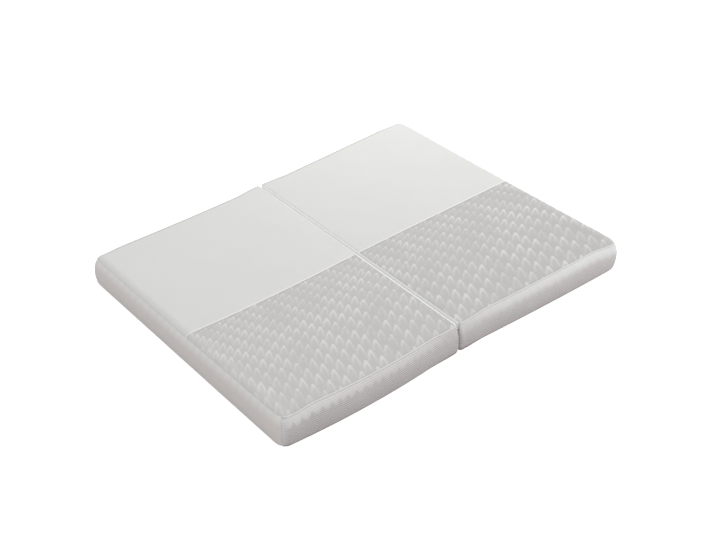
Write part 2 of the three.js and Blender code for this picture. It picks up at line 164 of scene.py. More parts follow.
def side_radius(a):
    """The radius of the top edge along a long side."""
    from_fold = FOLD_RADIUS + (SIDE_RADIUS - FOLD_RADIUS) * into_side(a)
    return from_fold + (END_RADIUS - SIDE_RADIUS) * into_corner(a)


def piping_elevation(a):
    """How high on the round edge the piping lies, in degrees."""
    return lerp(PIPING_CORNER_ELEVATION, PIPING_ELEVATION, into_side(a) * (1 - into_corner(a)))


def border_top(a):
    """The elevation at which the border ends under the piping."""
    return piping_elevation(a) - np.degrees(PIPING_CLEARANCE / side_radius(a))


def top_cloth_turn(a):
    """The turn from the flat top at which the top cloth ends above the piping."""
    return 90 - piping_elevation(a) - np.degrees(PIPING_CLEARANCE / side_radius(a))


# %% Lines of places and the two surfaces
STEPS_TO_PIPING = 11           # steps from the flat top down a round edge to the piping


def places(low_turn, shares, high_turn, arc_step=3.0):
    """Places along one direction: from low_turn degrees down the near round edge, over the flat at the
    given shares, to high_turn degrees down the far one. None leaves an edge out; "piping" goes as far as
    that."""
    def arc(turn):
        if turn is None:
            return np.zeros(0)
        if turn == "piping":
            return np.linspace(0, 1, STEPS_TO_PIPING + 1)[1:]
        return np.radians(np.linspace(0, turn, max(2, int(np.ceil(turn / arc_step))) + 1)[1:])

    near, far = arc(low_turn)[::-1], arc(high_turn)
    share = np.concatenate([np.zeros(len(near)), shares, np.ones(len(far))])
    side = np.concatenate([-np.ones(len(near)), np.zeros(len(shares)), np.ones(len(far))])
    turn = np.concatenate([near, np.zeros(len(shares)), far])
    return {"share": share, "side": side, "turn": turn, "to_piping": "piping" in (low_turn, high_turn)}


def steps(first, last, whole, pitch):
    """Evenly spaced shares from first to last, about a pitch apart on a flat of that whole length."""
    return np.linspace(first, last, max(2, int(round(abs(last - first) * whole / pitch))) + 1)


def a_of(line):
    """The flat place of a line's shares, from the fold."""
    return lerp(FOLD_RADIUS, CORNER_A, line["share"])


def turn_at(line, a):
    """A line's turns, which may be parts of the way to the piping at a."""
    return line["turn"] * np.radians(top_cloth_turn(a)) if line["to_piping"] else line["turn"]


def top_surface(length_line, cross_line, depth):
    """The top as a grid. On the flat, z is the thickness plus a crown of sine times sine; over an edge, an
    arc of that edge's radius; at a corner both arcs blend into a ball."""
    a = a_of(length_line)[:, None]
    side_a, turn_a = length_line["side"][:, None], length_line["turn"][:, None]
    side_y = cross_line["side"][None, :]
    turn_y = turn_at({**cross_line, "turn": cross_line["turn"][None, :]}, a) + 0 * a
    radius = side_radius(a)
    y = (cross_line["share"][None, :] - 0.5) * 2 * (HALF_WIDTH - radius)
    turn = np.maximum(turn_a, turn_y)
    spread = np.pi / 4 * np.minimum(turn_a, turn_y) / np.maximum(turn, 1e-9)
    lengthwise = turn_a >= turn_y
    from_a = np.where(lengthwise, np.cos(spread), np.sin(spread))
    from_y = np.where(lengthwise, np.sin(spread), np.cos(spread))
    out, up = (radius - depth) * np.sin(turn), (radius - depth) * np.cos(turn)
    over_a, over_y = np.sin(np.pi * length_line["share"]), np.sin(np.pi * cross_line["share"])
    z = THICKNESS - radius + up + CROWN * over_a[:, None] * over_y[None, :]
    return np.stack([a + side_a * from_a * out, y + side_y * from_y * out, z], -1)


def side_base(a, y, facing):
    """A place on a side in plan: the centre of its round edges, the way it faces and the edges' radii."""
    foot = lerp(FOLD_FOOT_RADIUS, FOOT_RADIUS, into_side(a))
    return {"centre": np.stack([a, y], -1), "facing": facing, "radius": side_radius(a), "foot": foot}


def long_side(length_line, side):
    """A long side in plan, along the front (-1) or the back (1)."""
    a, turn = a_of(length_line), length_line["turn"]
    facing = np.stack([length_line["side"] * np.sin(turn), side * np.cos(turn)], -1)
    return side_base(a, side * (HALF_WIDTH - side_radius(a)), facing)


def short_side(cross_line, side):
    """A short side in plan, at the free end (1) or at the fold (-1)."""
    a = np.full_like(cross_line["share"], CORNER_A if side > 0 else FOLD_RADIUS)
    turn = turn_at(cross_line, a)
    facing = np.stack([side * np.cos(turn), cross_line["side"] * np.sin(turn)], -1)
    return side_base(a, (cross_line["share"] - 0.5) * 2 * (HALF_WIDTH - side_radius(a)), facing)


def levels(foot, shares, top, arc_step=4.0):
    """Levels up a side: from foot degrees down the bottom roll, over the body at the given shares, to top
    degrees up the round top edge."""
    def arc(turn):
        if not turn:
            return np.zeros(0)
        return np.linspace(0, turn, max(2, int(np.ceil(abs(turn) / arc_step))) + 1)[1:]

    under, over = arc(foot)[::-1], arc(top)
    share = np.concatenate([np.zeros(len(under)), shares, np.ones(len(over))])
    turn = np.radians(np.concatenate([under, np.zeros(len(shares)), over]))
    return {"share": share[:, None], "turn": turn[:, None]}


def side_surface(side, level, depth):
    """An upright side as a grid, levels by places: a straight body, and arcs that close it above and below.
    Between the seam at the foot and 45 degrees up the top edge it stands out by a power of a sine, so that
    no crease shows between body and arcs, but not where it faces the fold."""
    share, turn = level["share"], level["turn"]
    radius, foot, facing = side["radius"][None, :], side["foot"][None, :], side["facing"][None, :, :]
    arc = np.where(turn < 0, foot, radius)
    level_z = lerp(foot, THICKNESS - radius, share)
    low = foot * (1 + np.sin(np.radians(BORDER_FOOT_ELEVATION)))
    high = THICKNESS - radius * (1 - np.sin(np.pi / 4))
    risen = np.clip((level_z + arc * np.sin(turn) - low) / (high - low), 0, 1)
    to_fold = np.where(facing[..., 0] < 0, facing[..., 0] ** 2, 0)
    swell = SIDE_BULGE * np.abs(np.sin(np.pi * risen)) ** SWELL_POWER * (1 - to_fold)
    out = np.where(turn < 0, radius - foot, 0) + (arc - depth) * np.cos(turn) + swell
    z = level_z + (arc - depth) * np.sin(turn)
    plan = side["centre"][None, :, :] + facing * out[..., None]
    return np.concatenate([plan, z[..., None]], -1)


# %% [markdown]
# ## Meshes from grids
# A cloth is a closed shell: an outer grid, an inner grid under it and a rim that joins them. The
# mesh is filled with whole arrays, which is quick even at a hundred thousand faces. Each cloth also
# gets a UV map in metres along its own surface, so a knit keeps its size and follows the cloth.

# %% Mesh helpers
def grid_quads(number, round_rows=False):
    """The corner numbers of each square of a grid of vertex numbers, closing each row on itself if asked."""
    if round_rows:
        number = np.hstack([number, number[:, :1]])
    return np.stack([number[:-1, :-1], number[1:, :-1], number[1:, 1:], number[:-1, 1:]], -1).reshape(-1, 4)


def volume_of(points, quads):
    """Six times the signed volume under a closed set of quads."""
    a, b, c, d = (points[quads[:, k]] for k in range(4))
    return float((a * np.cross(b, c)).sum() + (a * np.cross(c, d)).sum())


def make_mesh(name, points, quads, maps, sharp=50):
    """A mesh object in metres from points in millimetres, its quads turned outwards. The maps are UV
    arrays by name."""
    points = np.asarray(points, float) * MM
    if volume_of(points, quads) < 0:
        quads = quads[:, ::-1]
    mesh = bpy.data.meshes.new(name)
    mesh.vertices.add(len(points))
    mesh.vertices.foreach_set("co", points.astype(np.float32).ravel())
    mesh.loops.add(quads.size)
    mesh.loops.foreach_set("vertex_index", quads.astype(np.int32).ravel())
    mesh.polygons.add(len(quads))
    mesh.polygons.foreach_set("loop_start", np.arange(0, quads.size, 4, dtype=np.int32))
    mesh.polygons.foreach_set("use_smooth", np.ones(len(quads), bool))
    for map_name, uv in maps.items():
        layer = mesh.uv_layers.new(name=map_name)
        layer.uv.foreach_set("vector", uv[quads.ravel()].astype(np.float32).ravel())
    mesh.update(calc_edges=True)
    mesh.validate()
    mesh.set_sharp_from_angle(angle=np.radians(sharp))
    piece = bpy.data.objects.new(name, mesh)
    bpy.context.scene.collection.objects.link(piece)
    print(f"{name}: {2 * len(quads)} triangles")
    return piece


def walked(grid):
    """How far each point of a grid lies from the first row, along its column, and from the first column,
    along its row, in mm."""
    def down(g):
        step = np.linalg.norm(np.diff(g, axis=0), axis=-1)
        return np.concatenate([np.zeros((1, g.shape[1])), np.cumsum(step, 0)])
    return down(grid), down(grid.swapaxes(0, 1)).T


def lengths(grid):
    """Metres along both directions of a grid of points, measured on the surface from its middle."""
    down, across = walked(grid)
    rows, columns = down.shape
    return np.stack([(down - down[rows // 2]) * MM, (across - across[:, columns // 2][:, None]) * MM], -1)


def make_cloth(name, outer, inner, extra_maps=None):
    """A closed shell from two grids of the same shape, the rim walked round all four edges."""
    rows, columns = outer.shape[:2]
    number = np.arange(rows * columns).reshape(rows, columns)
    under = number + rows * columns
    rim = np.concatenate([number[0, :-1], number[:-1, -1], number[-1, :0:-1], number[:0:-1, 0]])
    wall = grid_quads(np.stack([rim, rim + rows * columns], 0), round_rows=True)
    quads = np.concatenate([grid_quads(number), grid_quads(under)[:, ::-1], wall[:, ::-1]])
    maps = {"cloth": lengths(outer), **(extra_maps or {})}
    doubled = {key: np.tile(uv.reshape(-1, 2), (2, 1)) for key, uv in maps.items()}
    return make_mesh(name, np.concatenate([outer.reshape(-1, 3), inner.reshape(-1, 3)]), quads, doubled)


# %% [markdown]
# ## Soft waves and seams
# Knit over foam is never dead flat. Five long sine waves, each under a millimetre high, let the light
# play over the tops and the ends, and each cloth dips where it is sewn down.

# %% Waves and seam dips
WAVES = [  # wavelength in mm, direction in degrees, height in mm, phase in degrees
    (420, 12, 0.55, 20), (310, 74, 0.45, 140), (230, 128, 0.3, 60), (170, 39, 0.2, 250), (530, 95, 0.5, 300),
]


def soft_waves(x, y):
    """The sum of a few sine waves over the plan, in millimetres."""
    total = 0.0
    for wavelength, direction, height, phase in WAVES:
        along_wave = x * np.cos(np.radians(direction)) + y * np.sin(np.radians(direction))
        total = total + height * np.sin(2 * np.pi * along_wave / wavelength + np.radians(phase))
    return total


def seam_dip(distance, width=5.0, deep=0.5):
    """How far a cloth dips at a distance from its seam: deep at the seam and gone two widths away."""
    return deep * np.exp(-(distance / width) ** 2)


def from_edges(grid):
    """The distance of each point of a grid from each of its four edges, in mm: first, last row and column."""
    down, across = walked(grid)
    return down, down[-1:] - down, across, across[:, -1:] - across


# %% [markdown]
# ## The filled panels
# The foam panel with its lining shows only at the foot, in the fold and from below. It is one closed surface:
# rings run from the middle of the top outwards, down the sides, under the bottom roll and back to the middle
# of the underside.

# %% Filled panels
HINGE_EASE = 1.8            # how much further in the filled panel keeps behind the hinge strip
FOLD_FACE = (0.72, 0.96)    # by how far it faces the fold, where the bare face starts and is fully out
HINGE_COVERS = (0.76, 0.9)  # shares of the body's height where the hinge strip starts and fully covers it
UNDER_CLOTHS = 0.2          # how much further the top and its edges keep under their cloths
FOOT_BARE = (-64, BORDER_FOOT_ELEVATION - 6)    # degrees down the bottom roll where the lining comes out
TOP_RINGS, UNDER_RINGS = 24, 12
PANEL_MIDDLE = np.array([PANEL_LENGTH / 2, 0])


def rim_line(pitch=18.0):
    """Places once round a panel in plan: front side, free end, back side and fold side."""
    length_line = places(45, steps(0, 1, PANEL_LENGTH, pitch), 45)
    cross_line = places(45, steps(0, 1, WIDTH, pitch), 45)
    sides = [
        (long_side(length_line, -1), 1), (short_side(cross_line, 1), 1),
        (long_side(length_line, 1), -1), (short_side(cross_line, -1), -1),
    ]
    joined = {}
    for key in ("centre", "facing", "radius", "foot"):
        joined[key] = np.concatenate([side[key][::order][:-1] for side, order in sides])
    return joined


def drawn_in(outline, shrink):
    """An outline in plan once for each share, drawn in to the panel's middle by it."""
    return outline[None] * shrink[:, None, None] + PANEL_MIDDLE * (1 - shrink[:, None, None])


def panel_top(rim, shrink):
    """Rings of the top under the cloths: the rim drawn in, with the top's crown."""
    reach = drawn_in(rim["centre"], shrink)
    share_a = (reach[..., 0] - FOLD_RADIUS) / (CORNER_A - FOLD_RADIUS)
    share_y = 0.5 + reach[..., 1] / (WIDTH - 2 * rim["radius"][None])
    crown = CROWN * np.sin(np.pi * np.clip(share_a, 0, 1)) * np.sin(np.pi * np.clip(share_y, 0, 1))
    return np.concatenate([reach, (THICKNESS - PANEL_DEPTH - UNDER_CLOTHS + crown)[..., None]], -1)


def make_closed(name, grid):
    """A surface of rings, each closed on itself. The points that meet at a pole are joined."""
    number = np.arange(grid.shape[0] * grid.shape[1]).reshape(grid.shape[:2])
    maps = {"cloth": lengths(grid).reshape(-1, 2)}
    piece = make_mesh(name, grid.reshape(-1, 3), grid_quads(number, round_rows=True), maps)
    mesh = bmesh.new()
    mesh.from_mesh(piece.data)
    bmesh.ops.remove_doubles(mesh, verts=mesh.verts, dist=1e-6)
    mesh.to_mesh(piece.data)
    mesh.free()
    return piece


def make_panel(name, hand):
    """A filled panel as one surface of rings, closed by a point in the middle of the top and of the
    underside. It keeps under its cloths, a little further behind the hinge strip, and comes out where the
    fold is bare."""
    rim = rim_line()
    to_fold = -rim["facing"][:, 0][None, :]
    covered = PANEL_DEPTH + HINGE_EASE * np.clip(to_fold, 0, 1)
    bare = PANEL_DEPTH * (1 - ease(to_fold, *FOLD_FACE))
    top = panel_top(rim, np.linspace(0.0, 1.0, TOP_RINGS))
    edge = side_surface(rim, levels(0, np.zeros(0), 86, arc_step=8), covered + UNDER_CLOTHS)[::-1]
    body_levels = levels(0, steps(0, 1, THICKNESS, 6.0), 0)
    body_depth = lerp(bare, covered, ease(body_levels["share"], *HINGE_COVERS))
    body = side_surface(rim, body_levels, body_depth)[::-1]
    shoulder = side_surface(rim, levels(BORDER_FOOT_ELEVATION - 2, np.zeros(0), 0), bare)[::-1]
    foot_turns = np.linspace(-90, FOOT_BARE[1], 9)[:, None]
    foot_levels = {"share": np.zeros_like(foot_turns), "turn": np.radians(foot_turns)}
    uncovered = np.minimum(bare, CLEAR) * ease(foot_turns, *FOOT_BARE)
    foot = side_surface(rim, foot_levels, uncovered)[::-1]
    under = drawn_in(foot[-1, :, :2], np.linspace(0.97, 0.0, UNDER_RINGS))
    under = np.concatenate([under, np.zeros((*under.shape[:2], 1))], -1)
    grid = place(hand, np.concatenate([top, edge, body, shoulder, foot, under]))
    return make_closed(name, grid)


panels = {}
for panel, hand in (("left", -1), ("right", 1)):
    piece = make_panel(f"{panel}_foam_panel", hand)
    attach(piece, "root")
    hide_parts(f"{panel}_filled_panel")
    panels[panel] = piece

# %% [markdown]
# ## The top cloths
# The back half of the top is a smooth off-white knit. The front half is a grey knit with rows of
# small pointed arches, which draw together towards the colour seam. Each arch is two fading
# strokes from one tip, so a short formula in a cell of a lattice draws all of them. The same
# formula raises the knit a little and later colours it.

# %% The lattice of arches
ARCH_STEP_X, ARCH_STEP_UP = (15, 66), (-1, 0.68)    # neighbours down a column and along a row: mm, rows
ARCH_ROW_NEAR, ARCH_ROW_FALL = 23.3, 0.0561         # a row's height: mm at y = 0, and its growth forwards
ARCH_SPREAD = 0.0002                                # how much the pitch grows per mm to the right
ARCH_ROW = 45                                       # the row height at which the strokes are drawn, mm
ARCH_RAISE = 0.8                                    # how far the arches stand up, mm
ARCH_CELL = (0.15, 0.85)                            # how far an arch's cell reaches before its tip
FRONT_LEG, LEFT_LEG = (-27, -55), (-55, -39)        # the two legs of an arch from its tip, mm in plan
LEG_WIDTH, LEG_BOW, LEG_FADE = 9, 4, 0.85           # a leg's softness, its bow outwards and its fading
FIELD_SHADE = 0.3                                   # the paler field between the legs


def arch_lattice(x, y):
    """Lattice coordinates at a place in plan. A row's height grows evenly forwards, so the row number is a
    logarithm of it; the pitch grows to the right in the same way. One arch has its tip at each whole
    number."""
    row = -np.log((ARCH_ROW_NEAR - ARCH_ROW_FALL * y) / ARCH_ROW) / ARCH_ROW_FALL
    run = np.log(1 + ARCH_SPREAD * x) / ARCH_SPREAD
    q = (run + ARCH_STEP_X[0] * row) / (ARCH_STEP_X[1] + ARCH_STEP_X[0] * ARCH_STEP_UP[1])
    return np.stack([ARCH_STEP_UP[1] * q - row, q], -1)


def stroke(ex, ey, leg, outwards):
    """A stroke from the tip: full on its middle line, soft to its edge and fading along it. The middle line
    bows out on a parabola, to the side given by outwards (1 or -1)."""
    squared = leg[0] ** 2 + leg[1] ** 2
    across = outwards * LEG_BOW * 4 / squared ** 0.5
    on = ((ex * leg[0] + ey * leg[1]) * (1 / squared)).clip(0, 1)
    bow = on * (1 - on)
    dx = ex - on * leg[0] + bow * (across * leg[1])
    dy = ey - on * leg[1] - bow * (across * leg[0])
    off = (dx ** 2 + dy ** 2) ** 0.5
    return (1 - off * (1 / LEG_WIDTH)).clip(0, 1) * (1 - on * LEG_FADE)


def one_arch(p, q):
    """One arch at lattice coordinates from its tip: two strokes, and a paler field between them near the
    tip. The field is highest where a place lies the same share along both legs."""
    ex = p * ARCH_STEP_X[0] + q * ARCH_STEP_X[1]
    ey = (p * ARCH_STEP_UP[0] + q * ARCH_STEP_UP[1]) * ARCH_ROW
    (ax, ay), (bx, by) = FRONT_LEG, LEFT_LEG
    scale = 1 / (ax * by - ay * bx)
    along_front = ((ex * by - ey * bx) * scale).clip(0, 1)
    along_left = ((ey * ax - ex * ay) * scale).clip(0, 1)
    field = (along_front * along_left * 9).clip(0, 1) * (1 - along_front - along_left).clip(0, 1)
    return (stroke(ex, ey, FRONT_LEG, 1) + stroke(ex, ey, LEFT_LEG, -1) + field * FIELD_SHADE).clip(0, 1)


def arch(p, q):
    """How much of an arch lies at lattice coordinates. An arch reaches down over the next one in its
    column, so the stronger of the two counts there."""
    p = (p + ARCH_CELL[0]) % 1 - ARCH_CELL[0]
    q = (q + ARCH_CELL[1]) % 1 - ARCH_CELL[1]
    own, above = one_arch(p, q), one_arch(p + 1, q)
    return (own - above).clip(0, 1) + above


def arch_in_plan(x, y):
    """How much of an arch lies at a place in plan, for the relief of the mesh."""
    lattice = arch_lattice(x, y)
    return arch(lattice[..., 0], lattice[..., 1])


# %% Top cloths
TOP_PITCH, PATTERN_PITCH = 9.0, 4.6
SEAM_PARTING = SEAM_CLEAR / (WIDTH - 2 * SIDE_RADIUS)
SEAM_SHARE = (COLOUR_SEAM_Y + HALF_WIDTH - SIDE_RADIUS) / (WIDTH - 2 * SIDE_RADIUS)
FLAT_RAISE = 2.2                           # how far a cloth stands up away from its seams
HINGE_HOLD, PIPING_HOLD, COLOUR_HOLD = 80, 60, 14    # how far each seam of a top holds the cloth down
WAVE_SHARE, CALM_REACH = 0.8, 40           # how much of the soft waves shows, and where they die out
GATHER_PITCH, GATHER_REACH = 52, 30        # small gathers beside the seam over the end
GATHER_RAISE = {"patterned": 0.5, "plain": 0.9}
GATHER_BLEND = 60                          # how far each side of the colour seam the height changes


def gather_wave(y):
    """The gathers along the seam over the end, between -1 and 1: a sine whose pitch wanders a little."""
    return np.sin(2 * np.pi * y / GATHER_PITCH + np.sin(y / 90))


def gathers(distance, y):
    """Small waves along the seam over the end, gone a little way from it and higher on the plain half."""
    into_plain = ease(y, COLOUR_SEAM_Y - GATHER_BLEND, COLOUR_SEAM_Y + GATHER_BLEND)
    height = lerp(GATHER_RAISE["patterned"], GATHER_RAISE["plain"], into_plain)
    return height * np.exp(-(distance / GATHER_REACH) ** 2) * gather_wave(y)


def dressed_depth(grid, in_plan, reaches, relief=0.0):
    """The depth of a cloth's outer face: it stands up in soft waves and relief, and dips at its seams. A
    reach says how far a seam, in the order of from_edges, holds the cloth down; None leaves it smooth."""
    dip, free, calm = 0.0, 1.0, 1.0
    for distance, reach in zip(from_edges(grid), reaches):
        calm = calm * (1 - np.exp(-(distance / CALM_REACH) ** 2))
        if reach:
            dip = dip + seam_dip(distance)
            free = free * (1 - np.exp(-(distance / reach) ** 2))
    return dip - FLAT_RAISE * free - soft_waves(*in_plan) * WAVE_SHARE * calm - relief


def sew_on(piece, node):
    """Puts a cloth in its node's place, stretched on its panel."""
    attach(piece, "root")
    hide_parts(node)
    return piece


def make_top(name, node, hand, cross_line, pitch, patterned):
    """One top cloth, from the hinge strip to the roll over the end and from the colour seam to the piping."""
    hinge_turn = (HINGE_LEFT_TURN if hand < 0 else HINGE_RIGHT_TURN) - SEAM_TURN
    length_line = places(hinge_turn, steps(0, 1, PANEL_LENGTH, pitch), 45 - SEAM_TURN)
    even = top_surface(length_line, cross_line, 0)
    lying = place(hand, even)
    x, y = lying[..., 0], lying[..., 1]
    relief = ARCH_RAISE * arch_in_plan(x, y) if patterned else 0.0
    _, to_end, to_front, to_back = from_edges(even)
    front_and_back = (PIPING_HOLD, COLOUR_HOLD) if patterned else (COLOUR_HOLD, PIPING_HOLD)
    depth = dressed_depth(even, (x, y), (HINGE_HOLD, None, *front_and_back), relief) - gathers(to_end, y)
    outer = place(hand, top_surface(length_line, cross_line, depth))
    inner = place(hand, top_surface(length_line, cross_line, CLOTH))
    # the seam map gives the distances to the colour seam and to the end seam, where the finish paints shadow,
    # highlight and light over the roll
    maps = {"seam": np.stack([to_back if patterned else to_front, to_end], -1)}
    if patterned:
        maps["arches"] = arch_lattice(x, y)
    return sew_on(make_cloth(name, outer, inner, maps), node)


plain_line = places(None, steps(SEAM_SHARE + SEAM_PARTING, 1, WIDTH, TOP_PITCH), "piping")
patterned_line = places("piping", steps(0, SEAM_SHARE - SEAM_PARTING, WIDTH, PATTERN_PITCH), None)
plain_tops, patterned_tops = [], []
for panel, hand in (("left", -1), ("right", 1)):
    plain_tops.append(make_top(
        f"{panel}_plain_cloth", f"{panel}_plain_top", hand, plain_line, TOP_PITCH, False))
    patterned_tops.append(make_top(
        f"{panel}_patterned_cloth", f"{panel}_patterned_top", hand, patterned_line, PATTERN_PITCH,
        True))

# %% [markdown]
# ## The end cloths
# A smooth warm grey cloth covers each short end. It starts on the roll over the end, falls down the
# swelling side, goes round both corners and is sewn to the lining under the bottom roll.

# %% End cloths
END_HOLD, END_PITCH = 40, 5.0      # how far its seams hold it down, and the distance of its levels
END_WAVES = (1.3, 2.0)             # how much closer together the waves lie, across and up it


def make_end(name, node, hand):
    """An end cloth: levels up the free end by places across it."""
    corner_turn = 90 - CORNER_SEAM_TURN - 2 * SEAM_TURN
    cross_line = places(corner_turn, steps(0, 1, WIDTH, TOP_PITCH), corner_turn)
    level = levels(BORDER_FOOT_ELEVATION, steps(0, 1, THICKNESS, END_PITCH), 45 - SEAM_TURN)
    side = short_side(cross_line, 1)
    even = side_surface(side, level, 0)
    to_top = from_edges(even)[1]
    across_and_up = (even[..., 1] * END_WAVES[0], even[..., 2] * END_WAVES[1])
    lying_y = place(hand, even)[..., 1]
    depth = dressed_depth(even, across_and_up, (END_HOLD, None, END_HOLD, END_HOLD))
    depth = depth - gathers(to_top, lying_y)
    outer = place(hand, side_surface(side, level, depth))
    inner = place(hand, side_surface(side, level, CLOTH))
    # the seam map's second number is the gathers' wave, which the finish turns into painted highlight and
    # shade
    piece = make_cloth(name, outer, inner, {"seam": np.stack([to_top, gather_wave(lying_y)], -1)})
    return sew_on(piece, node)


end_cloths = []
for panel, hand in (("left", -1), ("right", 1)):
    end_cloths.append(make_end(f"{panel}_end_cover", f"{panel}_end_cloth", hand))

# %% [markdown]
# ## The ribbed borders
# Both long sides are covered with a knit of level ribs, one above another, like a stack of cords.
# Under the piping the ribs are stretched nearly flat, and the border puckers there, most of all near the free
# end. Paler scallops hang down from the piping; they are colour alone, a knit pattern that also paints a
# highlight on the upper band, which turns up to the light. The colour also paints shade between the ribs and
# at the foot, a highlight on the round free corner, and more light on the right panel's borders.

# %% Borders
BORDER_PITCH, RIB_STEPS = 8.2, 6        # the distance of its places along the side, and the steps of one rib
RIBS_FLATTEN, FLATTENED = (0.62, 0.82), 0.8    # shares of the height where they do, and how much they lose
PUCKER_PITCH, PUCKER_DEPTH, PUCKER_REACH = 47, 0.9, 26
SCALLOP_REACH = 44                      # how far the scallops reach down, mm
# the round free corner turns pale by a painted highlight
CORNER_HIGHLIGHT = (8, 40)                # degrees round the free corner where it turns pale throughout
DIP_WIDTH, FOOT_DIP, PIPING_DIP = 4, 0.6, 0.2
# corner is the strength of a painted highlight on the round free corner; paler is painted light over the
# right panel's borders, as from the lamps on the right
BORDER_LOOKS = {    # by hand: the strength of the puckers at the fold and at the end, and the scallops
    -1: {"strength": (0.2, 1.0), "hollow": 0.5, "softness": 8, "corner": 1.0, "paler": 0.0},
    1: {"strength": (0.7, 1.1), "hollow": 0.2, "softness": 20, "corner": 0.4, "paler": 0.12},
}


def border_levels(side):
    """Levels at even distances up each place of a border, from its foot over the body to the piping."""
    radius, foot = side["radius"][None, :], side["foot"][None, :]
    body = THICKNESS - radius - foot
    foot_arc = foot * np.radians(-BORDER_FOOT_ELEVATION)
    height = foot_arc + body + radius * np.radians(border_top(side["centre"][:, 0]))[None, :]
    up = np.linspace(0, 1, RIB_COUNT * RIB_STEPS + 1)[:, None] * height - foot_arc
    turn = np.where(up < 0, up / foot, np.where(up > body, (up - body) / radius, 0))
    return {"share": np.clip(up / body, 0, 1), "turn": turn, "up": up + foot_arc, "height": height}


def rib(up_share):
    """The height of a rib over its valley: a round back, the square of a sine made fuller."""
    return (np.sin(np.pi * up_share * RIB_COUNT) ** 2) ** 0.45


def make_border(name, node, hand, side):
    """A border: level ribs, with puckers that fade downwards from the piping and towards the fold. A scallop
    is one lobe of a sine, whose pitch wanders a little, and ends with a soft edge."""
    look = BORDER_LOOKS[hand]
    length_line = places(CORNER_SEAM_TURN, steps(0, 1, PANEL_LENGTH, BORDER_PITCH), CORNER_SEAM_TURN)
    base = long_side(length_line, side)
    level = border_levels(base)
    even = side_surface(base, level, 0)
    run = even[..., 0]
    from_top, up_share = level["height"] - level["up"], level["up"] / level["height"]
    uneven = np.sin(run / 37) + np.sin(run / 61 + 1)
    strength = lerp(*look["strength"], run / PANEL_LENGTH)
    pucker = PUCKER_DEPTH * strength * np.exp(-(from_top / PUCKER_REACH) ** 2)
    pucker = pucker * (0.5 + 0.5 * np.cos(2 * np.pi * run / PUCKER_PITCH + uneven * 0.5))
    to_foot, to_piping = from_edges(even)[:2]
    dip = seam_dip(to_foot, DIP_WIDTH, FOOT_DIP) + seam_dip(to_piping, DIP_WIDTH, PIPING_DIP)
    flatter = 1 - FLATTENED * ease(up_share, *RIBS_FLATTEN)
    depth = dip - RIB_RAISE * flatter * rib(up_share) - pucker
    outer = place(hand, side_surface(base, level, depth))
    inner = place(hand, side_surface(base, level, CLOTH))
    hollow = look["hollow"] * (1 - np.abs(np.sin(np.pi * run / PUCKER_PITCH + uneven * 0.25)))
    reach = SCALLOP_REACH * (1 - hollow)
    scallop = strength * (1 - ease(from_top, reach - look["softness"], reach + look["softness"]))
    # painted highlight on the round free corner, and painted light over the whole right border
    corner_turn = np.where(length_line["side"] > 0, length_line["turn"], 0)
    round_corner = ease(corner_turn, *np.radians(CORNER_HIGHLIGHT))
    scallop = np.maximum(scallop, look["corner"] * round_corner[None, :]) + look["paler"]
    # the ribs map carries the scallops with their painted highlight, and the rib number for the painted shade
    # in the valleys and at the foot
    piece = make_cloth(name, outer, inner, {"ribs": np.stack([scallop, up_share * RIB_COUNT], -1)})
    return sew_on(piece, node)


borders = []
for panel, hand in (("left", -1), ("right", 1)):
    for edge_name, side in (("front", -1), ("back", 1)):
        borders.append(make_border(f"{panel}_{edge_name}_ribs", f"{panel}_{edge_name}_border", hand, side))

# %% [markdown]
# ## The piping
# A thin light piping is sewn between the top and each long border. It is a cloth-covered cord, so
# it is a tube carried along the round edge, with both ends closed by a low cap.

# %% Piping
PIPING_PITCH, CAP_HEIGHT = 11.0, 0.25      # the distance of its rings, and a cap's height in radii


def make_piping(name, node, hand, side, sides=16, cap_rings=5):
    """A tube along the edge: circles in the plane of the way the edge faces and up, smaller towards both
    tips."""
    base = long_side(places(PIPING_END_TURN, steps(0, 1, PANEL_LENGTH, PIPING_PITCH), PIPING_END_TURN), side)
    level = {"share": np.ones((1, 1)), "turn": np.radians(piping_elevation(base["centre"][:, 0]))[None, :]}
    axis = side_surface(base, level, -PIPING_STANDS_OUT)[0]
    out = np.concatenate([base["facing"], np.zeros((len(axis), 1))], -1)
    cap = np.linspace(90, 0, cap_rings + 1)[:-1]
    first, last = axis[0] - axis[1], axis[-1] - axis[-2]
    first, last = first / np.linalg.norm(first), last / np.linalg.norm(last)
    slide = PIPING_RADIUS * CAP_HEIGHT * np.sin(np.radians(cap))[:, None]
    centres = np.concatenate([axis[0] + first * slide, axis, (axis[-1] + last * slide)[::-1]])
    closing = np.cos(np.radians(cap))
    radius = PIPING_RADIUS * np.concatenate([closing, np.ones(len(axis)), closing[::-1]])
    outwards = np.concatenate([np.repeat(out[:1], cap_rings, 0), out, np.repeat(out[-1:], cap_rings, 0)])
    angle = np.arange(sides) * 2 * np.pi / sides
    upwards = np.array([0, 0, 1])
    ring = outwards[:, None] * np.cos(angle)[None, :, None] + upwards * np.sin(angle)[None, :, None]
    piece = make_closed(name, place(hand, centres[:, None] + ring * radius[:, None, None]))
    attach(piece, "root")
    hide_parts(node)
    return piece


pipings = []
for panel, hand in (("left", -1), ("right", 1)):
    for edge_name, side in (("front", -1), ("back", 1)):
        pipings.append(make_piping(f"{panel}_{edge_name}_cord", f"{panel}_{edge_name}_piping", hand, side))

# %% [markdown]
# ## The hinge strip
# A light strip joins the two panels. It starts on the top edge of the left panel, dips into the fold and
# comes up on the right panel, along the line where the real mattress folds.

# %% Hinge strip
HINGE_ROLL, HINGE_ROLL_MIDDLE, HINGE_ROLL_WIDTH = 2.4, 4.5, 4.0    # height, place from the seam, half width
# how far the painted light of the hinge strip's front blends into that of its back
FRONT_BLEND = 12        # how far each side of the colour seam its front tone changes into the back one


